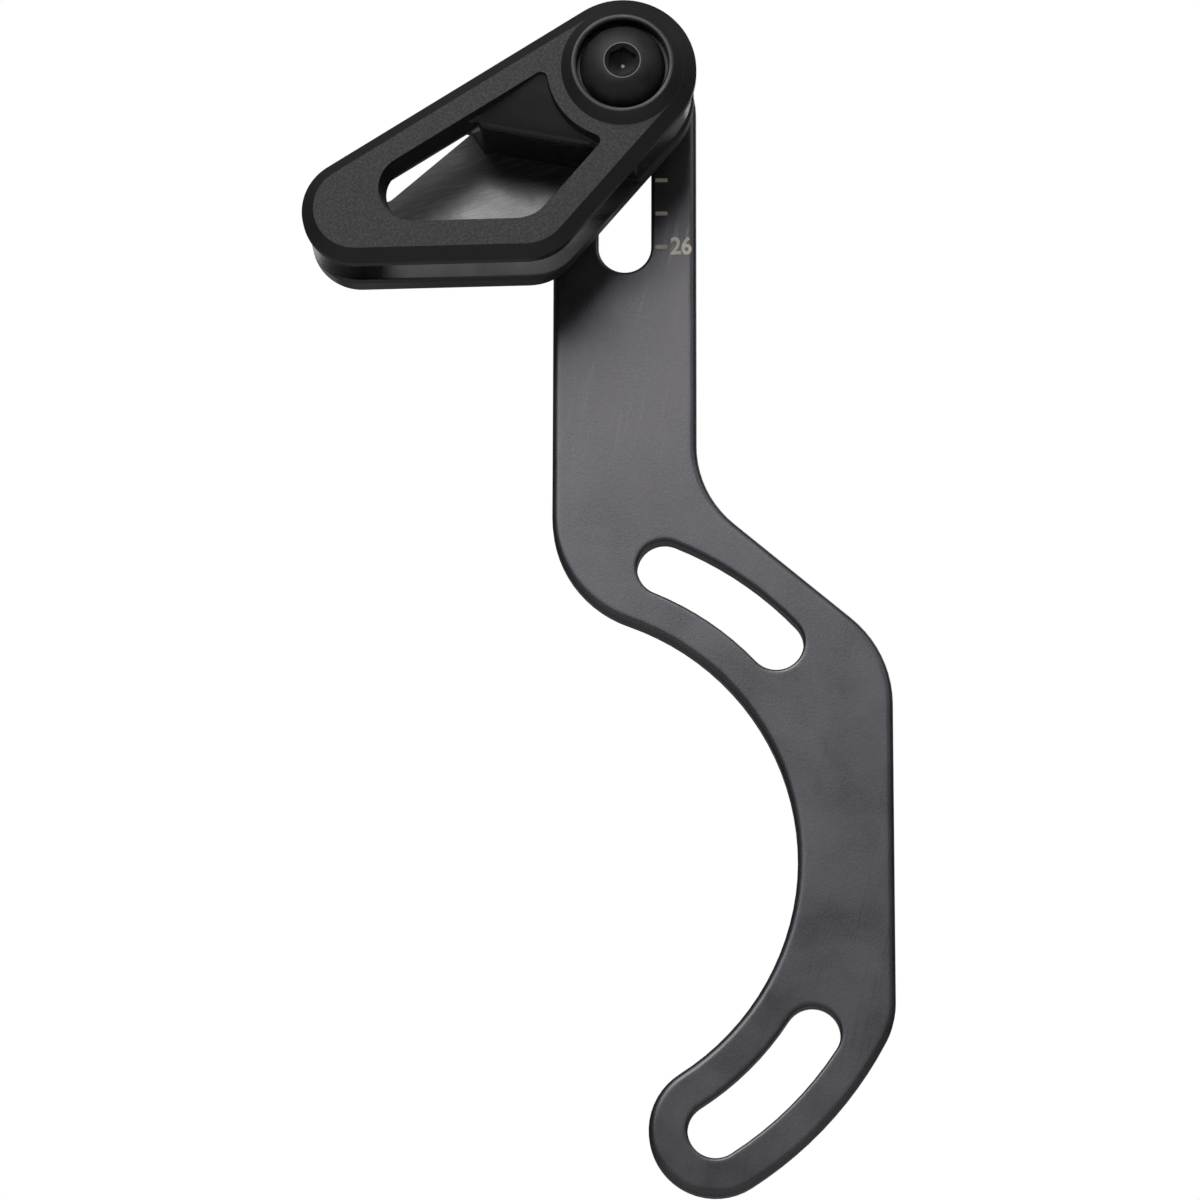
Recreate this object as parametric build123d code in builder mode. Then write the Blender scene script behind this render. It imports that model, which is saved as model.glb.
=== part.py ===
from build123d import *
import os
from math import acos, atan2, cos, degrees, hypot, radians, sin, sqrt

# Bicycle chain guide, in millimetres and degrees.
# X runs forward, Z up, and -Y towards the viewer. The origin is the centre of the bolt circle,
# on the bracket's back face. Heights in the stack are measured from that face towards -Y.

# Bracket: a curved arm along the bolt circle, a shoulder and a straight bar
bolt_circle_r = 36.5
arm_half_width = 7.5
plate_thickness = 3.0
bar_x = 9.3
bar_width = 16.6
front_edge_x = 39.9
shoulder_angle = 50.2
knee_r = 13.2
shoulder_high_r = 12.0
shoulder_low_r = 12.9
arm_corner_r = 8.9
plate_front_round = 0.8
plate_back_round = 0.5

# Bolt slots: width, and the angles of their end centres on the bolt circle
bolt_slot_width = 6.3
upper_slot_start = 43.1
upper_slot_sweep = 24.5
lower_slot_start = -57.5
lower_slot_sweep = 24.3
slot_round = 0.4

# Height scale: lowest and highest screw positions, one mark for every two teeth
scale_low_z = 72.0
scale_step = 4.04
scale_steps = 4

# M5 button-head screw, and a nut with a collar that runs in the adjusting slot
thread_d = 5.0
screw_length = 25.0
screw_tip_chamfer = 0.6
head_d = 9.7
head_height = 2.75
head_rim = 0.4
head_crown_d = 4.4
head_bulge = 0.27
socket_af = 3.0
socket_depth = 1.6
socket_mouth = 0.55
socket_turn = -5.0
socket_point_angle = 59.0
nut_af = 10.0
nut_height = 4.5
nut_chamfer_angle = 30.0
collar_d = 5.9
collar_length = 1.3
collar_chamfer = 0.15
collar_play = 0.1
thread_play = 0.05
screw_play = 0.1

# Track in the bracket's back that keeps the nut from turning
track_depth = 1.5
track_play = 0.1
track_end_play = 0.25
track_corner_r = 1.5

# Spacer rings between bracket and cage
spacer_d = 13.0
thick_spacer = 2.5
thin_spacer = 1.0
spacer_chamfer = 0.2

# Cage stack
inner_thickness = 3.2
channel_width = 7.5
outer_thickness = 3.1

# Cage outline: three circles wrapped by a belt, placed from the screw
boss_r = 8.4
tail_dx = -30.2
tail_dz = -16.6
tail_r = 6.15
heel_dx = -11.0
heel_dz = -15.7
heel_r = 6.6
rim_bevel = 1.4
outer_back_round = 0.45
inner_inset = 0.35
inner_edge_round = 0.5
inner_back_round = 0.4

# Raised ring around the screw head
boss_step = 0.01
boss_height = 1.2
boss_ring_round = 0.28
counterbore_d = 10.4
counterbore_depth = 1.7

# Outer window: rim widths from the outline, end radii and sloped walls
rim_top = 3.8
rim_bottom = 4.4
rim_heel = 4.4
rim_boss = 0.2
window_tail_r = 3.9
window_heel_r = 4.5
window_corner_r = 0.8
window_draft = 13.5
window_run_out = 0.3

# Bridge block that joins the two plates and roofs the chain channel
bridge_inset = 0.6
roof_drop = 9.7
roof_angle = -11.2
bridge_reach = 17.2
bridge_corner_r = 0.8
floor_depth = 1.5
floor_rise = 8.7
lip_round = 0.9

# Inner window: a narrow opening between the top rim and a slanting edge
inner_rim_top = 1.6
inner_window_angle = 41.0
inner_window_gap = 0.94
inner_window_length = 13.4
inner_window_end_r = 1.2
inner_window_tip_r = 0.3

# Shallow scoop along the inner plate's channel face, curved above its lower edge and then flat
scoop_r = 31.0
scoop_angle = 12.5

# Dowels moulded on the bridge, which key the inner plate
dowel_d = 3.0
dowel_length = 2.0
dowel_play = 0.05
dowel_end_play = 0.3
dowel_chamfer = 0.3
dowel_places = ((-9.5, -2.0), (-2.8, -6.7))

# Derived places
hollow_r = bolt_circle_r - arm_half_width
arm_outer_r = bolt_circle_r + arm_half_width
bar_back_x = bar_x - bar_width / 2
bar_front_x = bar_x + bar_width / 2
screw_z = scale_low_z + scale_step * scale_steps
travel = screw_z - scale_low_z
adjust_slot_width = collar_d + 2 * collar_play
nut_corner_r = nut_af / sqrt(3)
track_length = travel + 2 * (nut_corner_r + track_end_play)
screw_hole_r = thread_d / 2 + screw_play
thin_spacer_h = plate_thickness + thick_spacer
inner_back_h = thin_spacer_h + thin_spacer
inner_front_h = inner_back_h + inner_thickness
outer_back_h = inner_front_h + channel_width
face_h = outer_back_h + outer_thickness
boss_top_h = face_h + boss_height
seat_h = boss_top_h - counterbore_depth
head_top_h = seat_h + head_height
boss = (bar_x, screw_z, boss_r)
tail = (bar_x + tail_dx, screw_z + tail_dz, tail_r)
heel = (bar_x + heel_dx, screw_z + heel_dz, heel_r)
cage_circles = (boss, tail, heel)
screw_axis = Axis((bar_x, 0, screw_z), (0, -1, 0))


def polar(radius, angle, centre=(0, 0)):
    """Point at a radius and an angle in degrees from a centre."""
    return (centre[0] + radius * cos(radians(angle)), centre[1] + radius * sin(radians(angle)))


def belt_normal(first, second):
    """Outward direction, in degrees, of the belt's straight run from one circle to the next."""
    gap = hypot(second[0] - first[0], second[1] - first[1])
    heading = atan2(second[1] - first[1], second[0] - first[0])
    return degrees(heading - acos((first[2] - second[2]) / gap)) % 360


def belt_point(circle, normal, inset=0.0):
    """Point of a belt's straight run on one circle, moved inwards by inset."""
    return polar(circle[2] - inset, normal, circle[:2])


def draw_belt(circles, inset=0.0):
    """Draw the belt around circles listed anticlockwise, moved inwards by inset."""
    for i, circle in enumerate(circles):
        following = circles[(i + 1) % len(circles)]
        start = belt_normal(circles[i - 1], circle)
        end = belt_normal(circle, following)
        CenterArc(circle[:2], circle[2] - inset, start, (end - start) % 360)
        Line(belt_point(circle, end, inset), belt_point(following, end, inset))


def meet(point_a, angle_a, point_b, angle_b):
    """Point where two lines meet, each given by a point and a direction in degrees."""
    ax, az = polar(1, angle_a)
    bx, bz = polar(1, angle_b)
    along = ((point_b[0] - point_a[0]) * bz - (point_b[1] - point_a[1]) * bx) / (ax * bz - az * bx)
    return (point_a[0] + along * ax, point_a[1] + along * az)


def round_corner(sketch, corner, radius):
    """Round the sketch's corner nearest to a point."""
    fillet(sketch.vertices().sort_by_distance(Vector(*corner))[0], radius)


top_normal = belt_normal(boss, tail)
bottom_normal = belt_normal(tail, heel)
heel_normal = belt_normal(heel, boss)

# Corner of the bridge block where the channel's roof meets its tail-side wall
roof_point = polar(roof_drop, roof_angle - 90, boss[:2])
wall_point = polar(bridge_reach, top_normal + 90, boss[:2])
bridge_corner = meet(roof_point, roof_angle, wall_point, top_normal)


def draw_window(sketch):
    """Draw the outer window in a sketch: three straight rims and an arc around the boss."""
    top_edge = belt_point(boss, top_normal, rim_top)
    bottom_edge = belt_point(heel, bottom_normal, rim_bottom)
    heel_edge = belt_point(boss, heel_normal, rim_heel)
    tail_corner = meet(top_edge, top_normal + 90, bottom_edge, bottom_normal + 90)
    heel_corner = meet(bottom_edge, bottom_normal + 90, heel_edge, heel_normal + 90)
    Polygon(tail_corner, heel_corner, heel_edge, top_edge, align=None)
    round_corner(sketch, tail_corner, window_tail_r)
    round_corner(sketch, heel_corner, window_heel_r)
    with Locations(boss[:2]):
        Circle(boss_r + rim_boss, mode=Mode.SUBTRACT)
    fillet(sketch.vertices().sort_by_distance(Vector(*boss[:2]))[:2], window_corner_r)


def bridge_side(mode=Mode.ADD):
    """Draw all that lies above the channel's roof and in front of the bridge's tail-side wall."""
    reach = bridge_reach + boss_r + roof_drop
    Polygon(
        bridge_corner,
        polar(2 * reach, roof_angle, bridge_corner),
        polar(2 * reach, top_normal / 2, bridge_corner),
        polar(2 * reach, top_normal, bridge_corner),
        align=None,
        mode=mode,
    )


# Bracket plate
with BuildPart() as bracket_plate:
    knee = (bar_back_x, sqrt(hollow_r**2 - bar_back_x**2))
    arm_corner = (front_edge_x, -sqrt(arm_outer_r**2 - front_edge_x**2))
    shoulder_touch = polar(arm_outer_r, shoulder_angle)
    shoulder_low = meet(shoulder_touch, shoulder_angle + 90, (front_edge_x, 0), 90)
    shoulder_high = meet(shoulder_touch, shoulder_angle + 90, (bar_front_x, 0), 90)
    knee_angle = degrees(atan2(knee[1], knee[0]))
    corner_angle = degrees(atan2(arm_corner[1], arm_corner[0]))
    with BuildSketch(Plane.XZ) as plate_outline:
        with BuildLine():
            Line((bar_back_x, screw_z), knee)
            CenterArc((0, 0), hollow_r, knee_angle, lower_slot_start - knee_angle)
            CenterArc(polar(bolt_circle_r, lower_slot_start), arm_half_width, lower_slot_start + 180, 180)
            CenterArc((0, 0), arm_outer_r, lower_slot_start, corner_angle - lower_slot_start)
            Polyline(arm_corner, shoulder_low, shoulder_high, (bar_front_x, screw_z))
            CenterArc((bar_x, screw_z), bar_width / 2, 0, 180)
        make_face()
        round_corner(plate_outline, knee, knee_r)
        round_corner(plate_outline, shoulder_high, shoulder_high_r)
        round_corner(plate_outline, shoulder_low, shoulder_low_r)
        round_corner(plate_outline, arm_corner, arm_corner_r)
        with Locations((bar_x, (scale_low_z + screw_z) / 2)):
            SlotCenterToCenter(travel, adjust_slot_width, rotation=90, mode=Mode.SUBTRACT)
        for start, sweep in (
            (upper_slot_start, upper_slot_sweep),
            (lower_slot_start, lower_slot_sweep),
        ):
            end = start + sweep
            with BuildLine():
                CenterArc((0, 0), bolt_circle_r + bolt_slot_width / 2, start, sweep)
                CenterArc(polar(bolt_circle_r, end), bolt_slot_width / 2, end, 180)
                CenterArc((0, 0), bolt_circle_r - bolt_slot_width / 2, end, -sweep)
                CenterArc(polar(bolt_circle_r, start), bolt_slot_width / 2, start + 180, 180)
            make_face(mode=Mode.SUBTRACT)
    extrude(amount=plate_thickness)
    plate_front = bracket_plate.faces().sort_by(Axis.Y)[0]
    fillet(plate_front.outer_wire().edges(), plate_front_round)
    plate_front = bracket_plate.faces().sort_by(Axis.Y)[0]
    fillet([edge for wire in plate_front.inner_wires() for edge in wire.edges()], slot_round)
    plate_back = bracket_plate.faces().sort_by(Axis.Y)[-1]
    fillet(plate_back.outer_wire().edges(), plate_back_round)
    with BuildSketch(Plane.XZ):
        with Locations((bar_x, (scale_low_z + screw_z) / 2)):
            RectangleRounded(nut_af + 2 * track_play, track_length, track_corner_r)
    extrude(amount=track_depth, mode=Mode.SUBTRACT)

# Floor left standing under the window in front of the bridge, rising from a rounded lip
with BuildPart() as window_floor:
    with BuildSketch(Plane.XZ.offset(inner_front_h)) as floor_outline:
        bridge_side()
        round_corner(floor_outline, bridge_corner, bridge_corner_r)
    extrude(amount=channel_width + outer_thickness)
    roof_run = Vector(cos(radians(roof_angle)), 0, sin(radians(roof_angle)))
    roof_up = Vector(-sin(radians(roof_angle)), 0, cos(radians(roof_angle)))
    floor_facing = Vector(0, -1, 0) * cos(radians(floor_rise)) - roof_up * sin(radians(floor_rise))
    lip_point = (bridge_corner[0], floor_depth - face_h, bridge_corner[1])
    split(bisect_by=Plane(lip_point, x_dir=roof_run, z_dir=floor_facing), keep=Keep.BOTTOM)
    fillet(window_floor.faces().sort_by(Axis.Y)[0].edges(), lip_round)

# Cutter for the outer window, with sloped walls
with BuildPart() as window_cutter:
    with BuildSketch(Plane.XZ.offset(face_h)) as window_outline:
        draw_window(window_outline)
    extrude(amount=-(outer_thickness + window_run_out), taper=window_draft)
    add(window_floor.part, mode=Mode.SUBTRACT)

# Outer cage: bevelled front plate with window and raised ring, and the bridge block behind it
with BuildPart() as outer_cage:
    with BuildSketch(Plane.XZ.offset(outer_back_h)):
        with BuildLine():
            draw_belt(cage_circles)
        make_face()
    extrude(amount=outer_thickness)
    chamfer(outer_cage.faces().sort_by(Axis.Y)[0].edges(), rim_bevel)
    fillet(outer_cage.faces().sort_by(Axis.Y)[-1].edges(), outer_back_round)
    with BuildSketch(Plane.XZ.offset(face_h)):
        with Locations(boss[:2]):
            Circle(boss_r - rim_bevel - boss_step)
    extrude(amount=boss_height, taper=45)
    with BuildSketch(Plane.XZ.offset(inner_front_h)) as bridge_outline:
        with BuildLine():
            draw_belt(cage_circles, bridge_inset)
        make_face()
        bridge_side(Mode.INTERSECT)
        round_corner(bridge_outline, bridge_corner, bridge_corner_r)
    extrude(amount=channel_width + outer_thickness - rim_bevel - bridge_inset)
    add(window_cutter.part, mode=Mode.SUBTRACT)
    with BuildSketch(Plane.XZ.offset(inner_front_h)):
        with Locations(*((boss[0] + dx, boss[1] + dz) for dx, dz in dowel_places)):
            Circle(dowel_d / 2)
    extrude(amount=-dowel_length)
    dowel_ends = outer_cage.faces().filter_by(Axis.Y).sort_by(Axis.Y)[-len(dowel_places):]
    chamfer([edge for face in dowel_ends for edge in face.edges()], dowel_chamfer)
    with BuildSketch(Plane.XZ.offset(boss_top_h)):
        with Locations(boss[:2]):
            Circle(counterbore_d / 2)
    extrude(amount=-counterbore_depth, mode=Mode.SUBTRACT)
    fillet(outer_cage.faces().sort_by(Axis.Y)[0].edges(), boss_ring_round)
    with BuildSketch(Plane.XZ.offset(seat_h)):
        with Locations(boss[:2]):
            Circle(screw_hole_r)
    extrude(amount=inner_front_h - seat_h, mode=Mode.SUBTRACT)

# Scoop of the inner plate: a long curved step along its lower edge, kept clear of the bridge
with BuildPart() as channel_scoop:
    low_edge = belt_point(tail, bottom_normal, inner_inset + inner_edge_round)
    scoop_plane = Plane(
        (low_edge[0], -inner_front_h, low_edge[1]),
        x_dir=(-cos(radians(bottom_normal)), 0, -sin(radians(bottom_normal))),
        z_dir=(-sin(radians(bottom_normal)), 0, cos(radians(bottom_normal))),
    )
    scoop_centre = polar(scoop_r, 90 - scoop_angle)
    scoop_reach = 2 * hypot(tail_dx, tail_dz)
    with BuildSketch(scoop_plane):
        with Locations(scoop_centre):
            Circle(scoop_r)
            Rectangle(scoop_reach, 2 * scoop_r, align=(Align.MIN, Align.CENTER))
    extrude(amount=scoop_reach, both=True)
    with BuildSketch(Plane.XZ.offset(inner_back_h)):
        bridge_side()
    extrude(amount=inner_thickness, mode=Mode.SUBTRACT)

# Inner cage plate with its narrow window, scooped channel face and dowel holes
with BuildPart() as inner_cage_plate:
    with BuildSketch(Plane.XZ.offset(inner_back_h)) as inner_outline:
        with BuildLine():
            draw_belt(cage_circles, inner_inset)
        make_face()
        rim_edge = belt_point(boss, top_normal, inner_rim_top)
        tip_top = meet(rim_edge, top_normal + 90, wall_point, top_normal)
        tip_low = polar(inner_window_gap, top_normal + 180, tip_top)
        end_low = polar(inner_window_length, inner_window_angle + 180, tip_low)
        end_top = meet(rim_edge, top_normal + 90, end_low, top_normal)
        Polygon(tip_top, end_top, end_low, tip_low, align=None, mode=Mode.SUBTRACT)
        for corner in (tip_top, tip_low):
            round_corner(inner_outline, corner, inner_window_tip_r)
        for corner in (end_top, end_low):
            round_corner(inner_outline, corner, inner_window_end_r)
    extrude(amount=inner_thickness)
    inner_front = inner_cage_plate.faces().sort_by(Axis.Y)[0]
    fillet(inner_front.outer_wire().edges(), inner_edge_round)
    inner_back = inner_cage_plate.faces().sort_by(Axis.Y)[-1]
    fillet(inner_back.outer_wire().edges(), inner_back_round)
    add(channel_scoop.part, mode=Mode.SUBTRACT)
    with BuildSketch(Plane.XZ.offset(inner_front_h)):
        with Locations(*((boss[0] + dx, boss[1] + dz) for dx, dz in dowel_places)):
            Circle(dowel_d / 2 + dowel_play)
    extrude(amount=-(dowel_length + dowel_end_play), mode=Mode.SUBTRACT)
    with BuildSketch(Plane.XZ.offset(inner_back_h)):
        with Locations(boss[:2]):
            Circle(screw_hole_r)
    extrude(amount=inner_thickness, mode=Mode.SUBTRACT)

# Clamp screw: button head with a hexagon socket
with BuildPart() as clamp_screw:
    screw_plane = Plane((bar_x, -seat_h, screw_z), x_dir=(1, 0, 0), z_dir=(0, 0, -1))
    crown_r = head_crown_d / 2
    bulge_x = (head_d / 2 + crown_r) / 2 + head_bulge
    bulge_h = (head_rim + head_height) / 2 + head_bulge
    with BuildSketch(screw_plane):
        with BuildLine():
            Polyline(
                (0, head_height),
                (0, -screw_length),
                (thread_d / 2 - screw_tip_chamfer, -screw_length),
                (thread_d / 2, -screw_length + screw_tip_chamfer),
                (thread_d / 2, 0),
                (head_d / 2, 0),
                (head_d / 2, head_rim),
            )
            ThreePointArc((head_d / 2, head_rim), (bulge_x, bulge_h), (crown_r, head_height))
            Line((crown_r, head_height), (0, head_height))
        make_face()
    revolve(axis=screw_axis)
    with BuildSketch(Plane.XZ.offset(head_top_h)):
        with Locations((bar_x, screw_z)):
            Circle(socket_af / 2 + socket_mouth)
    extrude(amount=-socket_mouth, taper=45, mode=Mode.SUBTRACT)
    with BuildSketch(Plane.XZ.offset(head_top_h)):
        with Locations((bar_x, screw_z)):
            RegularPolygon(socket_af / 2, 6, major_radius=False, rotation=90 + socket_turn)
    extrude(amount=-socket_depth, mode=Mode.SUBTRACT)
    with BuildSketch(Plane.XZ.offset(head_top_h - socket_depth)):
        with Locations((bar_x, screw_z)):
            Circle(socket_af / 2)
    extrude(amount=-socket_af / 4, taper=socket_point_angle, mode=Mode.SUBTRACT)

# Clamp nut: hexagon with both faces chamfered, seated in the track, and its collar
with BuildPart() as clamp_nut:
    nut_chamfer = (nut_corner_r - nut_af / 2) * sin(radians(nut_chamfer_angle))
    nut_plane = Plane((bar_x, -track_depth, screw_z), x_dir=(1, 0, 0), z_dir=(0, 0, -1))
    with BuildSketch(Plane.XZ.offset(track_depth)):
        with Locations((bar_x, screw_z)):
            RegularPolygon(nut_af / 2, 6, major_radius=False, rotation=30)
            Circle(thread_d / 2 + thread_play, mode=Mode.SUBTRACT)
    extrude(amount=-nut_height)
    with BuildSketch(nut_plane):
        Polygon(
            (0, 0),
            (nut_af / 2, 0),
            (nut_corner_r, -nut_chamfer),
            (nut_corner_r, nut_chamfer - nut_height),
            (nut_af / 2, -nut_height),
            (0, -nut_height),
            align=None,
        )
    revolve(axis=screw_axis, mode=Mode.INTERSECT)
    with BuildSketch(Plane.XZ.offset(track_depth)):
        with Locations((bar_x, screw_z)):
            Circle(collar_d / 2)
            Circle(thread_d / 2 + thread_play, mode=Mode.SUBTRACT)
    extrude(amount=collar_length)
    chamfer(clamp_nut.faces().sort_by(Axis.Y)[0].edges().sort_by(SortBy.LENGTH)[-1], collar_chamfer)


def spacer_ring(back_h, thickness):
    """Spacer ring around the screw with lightly broken edges."""
    with BuildPart() as ring:
        with BuildSketch(Plane.XZ.offset(back_h)):
            with Locations((bar_x, screw_z)):
                Circle(spacer_d / 2)
                Circle(screw_hole_r, mode=Mode.SUBTRACT)
        extrude(amount=thickness)
        chamfer(ring.edges().filter_by(GeomType.CIRCLE), spacer_chamfer)
    return ring.part


pieces = {
    "bracket_plate": bracket_plate.part,
    "outer_cage": outer_cage.part,
    "inner_cage_plate": inner_cage_plate.part,
    "clamp_screw": clamp_screw.part,
    "clamp_nut": clamp_nut.part,
    "chainline_spacer_thick": spacer_ring(plate_thickness, thick_spacer),
    "chainline_spacer_thin": spacer_ring(thin_spacer_h, thin_spacer),
}
os.makedirs("parts", exist_ok=True)
for name, piece in pieces.items():
    piece.label = name
    export_step(piece, f"parts/{name}.step")
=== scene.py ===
"""Looks of a bicycle chain guide: finishes, etched scale, threaded screw, studio and camera.

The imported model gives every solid. This script dresses them, puts evenly shaded skins in place of the plate
and both halves of the cage, adds the etched scale and a screw with a real thread, and lights the guide as a
product photograph is lit. All lengths are in metres unless a name ends in _mm, angles are in degrees, and
everything stands in the guide's own frame: X forward, Z up, -Y towards the viewer.
"""

import logging
from collections.abc import Mapping
from dataclasses import dataclass, field
from enum import Enum
from math import cos, hypot, pi, radians, sin
from typing import Any

import bmesh
import bpy
from mathutils import Matrix, Vector


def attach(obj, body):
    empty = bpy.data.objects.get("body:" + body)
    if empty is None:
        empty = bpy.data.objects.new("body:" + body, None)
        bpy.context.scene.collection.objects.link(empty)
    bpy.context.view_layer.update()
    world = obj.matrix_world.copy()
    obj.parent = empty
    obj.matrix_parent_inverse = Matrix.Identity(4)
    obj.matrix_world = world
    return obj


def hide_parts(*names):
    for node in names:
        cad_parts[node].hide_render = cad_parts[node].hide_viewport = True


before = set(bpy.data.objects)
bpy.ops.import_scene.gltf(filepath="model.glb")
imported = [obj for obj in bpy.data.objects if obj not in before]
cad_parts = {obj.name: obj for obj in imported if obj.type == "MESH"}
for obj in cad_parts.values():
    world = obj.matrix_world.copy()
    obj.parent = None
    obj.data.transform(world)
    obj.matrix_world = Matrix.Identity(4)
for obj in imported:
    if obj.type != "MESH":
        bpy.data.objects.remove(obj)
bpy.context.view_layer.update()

MM = 0.001
# Points of a mesh that lie closer than this are one point
MERGE = 0.001 * MM
Colour = tuple[float, float, float]
Spot = tuple[float, float, float]
Band = tuple[float, float]
log = logging.getLogger("chain_guide")


class Body(Enum):
    """Rigid bodies of the guide that pieces ride on."""

    BRACKET = "bracket"
    CLAMP = "clamp"
    CAGE = "cage"


class Mark(Enum):
    """Marks of the height scale, each named for the chainring it suits."""

    TEETH_26 = 26
    TEETH_28 = 28
    TEETH_30 = 30
    TEETH_32 = 32
    TEETH_34 = 34

    @property
    def numbered(self) -> bool:
        """Whether the mark carries its number: only the two ends of the scale do."""
        return self in (Mark.TEETH_26, Mark.TEETH_34)


# Node building


@dataclass
class NodeSheet:
    """Places and links nodes in one node tree."""

    tree: bpy.types.NodeTree

    def place(
        self,
        kind: str,
        inputs: Mapping[str | int, Any] | None = None,
        **options: Any,
    ) -> bpy.types.Node:
        """Add a node, set its options and fill its inputs.

        Args:
            kind: Blender's type name of the node.
            inputs: Values or sockets for the node's inputs, by name or index.
            **options: Attributes of the node itself.

        Returns:
            The new node.
        """
        node = self.tree.nodes.new(kind)
        for key, value in options.items():
            setattr(node, key, value)
        for key, value in (inputs or {}).items():
            self.feed(node.inputs[key], value)
        return node

    def feed(self, socket: bpy.types.NodeSocket, value: Any) -> None:
        """Link a socket to another one, or set its own value.

        Args:
            socket: Input to fill.
            value: A socket to link from, or a plain value.
        """
        if isinstance(value, bpy.types.NodeSocket):
            self.tree.links.new(value, socket)
        else:
            socket.default_value = value

    def calc(self, operation: str, a: Any, b: Any = 0.0, clamp: bool = False) -> bpy.types.NodeSocket:
        """Combine two values with a Math node.

        Args:
            operation: Blender's name of the operation.
            a: First value or socket.
            b: Second value or socket.
            clamp: Whether the result is kept between 0 and 1.

        Returns:
            The result's socket.
        """
        return self.place("ShaderNodeMath", {0: a, 1: b}, operation=operation, use_clamp=clamp).outputs[0]

    def product(self, first: Any, *others: Any) -> Any:
        """Multiply values, such as masks that all have to hold.

        Args:
            first: First value or socket.
            *others: The values or sockets that it is multiplied by.

        Returns:
            The product's socket.
        """
        for value in others:
            first = self.calc("MULTIPLY", first, value)
        return first

    def remap(
        self, value: Any, low: float, high: float, to_low: float, to_high: float
    ) -> bpy.types.NodeSocket:
        """Carry a value from one range to another, clamped at both ends.

        Args:
            value: Value or socket to carry over.
            low: Start of the first range.
            high: End of the first range.
            to_low: Result at low.
            to_high: Result at high.

        Returns:
            The result's socket.
        """
        inputs = {0: value, 1: low, 2: high, 3: to_low, 4: to_high}
        return self.place("ShaderNodeMapRange", inputs, clamp=True).outputs[0]

    def swing(self, value: Any, middle: float, reach: float) -> bpy.types.NodeSocket:
        """Carry a value from 0 to 1 to an even swing about a middle."""
        return self.remap(value, 0.0, 1.0, middle - reach, middle + reach)

    def blend(self, factor: Any, first: Any, second: Any) -> bpy.types.NodeSocket:
        """Mix two colours by a factor that changes over the surface.

        Args:
            factor: Share of the second colour.
            first: Colour at 0, or its socket.
            second: Colour at 1, or its socket.

        Returns:
            The mixed colour's socket.
        """
        inputs: dict[str | int, Any] = {0: factor}
        for index, colour in ((6, first), (7, second)):
            inputs[index] = colour if isinstance(colour, bpy.types.NodeSocket) else (*colour, 1.0)
        return self.place("ShaderNodeMix", inputs, data_type="RGBA").outputs[2]


def start_group(name: str, inputs: tuple[str, ...], outputs: tuple[str, ...]) -> NodeSheet:
    """Start a shader node group with one vector input, some numbers in and some numbers out.

    Args:
        name: Name of the group.
        inputs: Names of the number inputs.
        outputs: Names of the number outputs.

    Returns:
        A sheet on the group's tree, with its two end nodes in place.
    """
    tree = bpy.data.node_groups.new(name, "ShaderNodeTree")
    tree.interface.new_socket("Vector", in_out="INPUT", socket_type="NodeSocketVector")
    for label in inputs:
        tree.interface.new_socket(label, in_out="INPUT", socket_type="NodeSocketFloat")
    for label in outputs:
        tree.interface.new_socket(label, in_out="OUTPUT", socket_type="NodeSocketFloat")
    sheet = NodeSheet(tree)
    sheet.place("NodeGroupInput", name="Ins")
    sheet.place("NodeGroupOutput", name="Outs")
    return sheet


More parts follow.
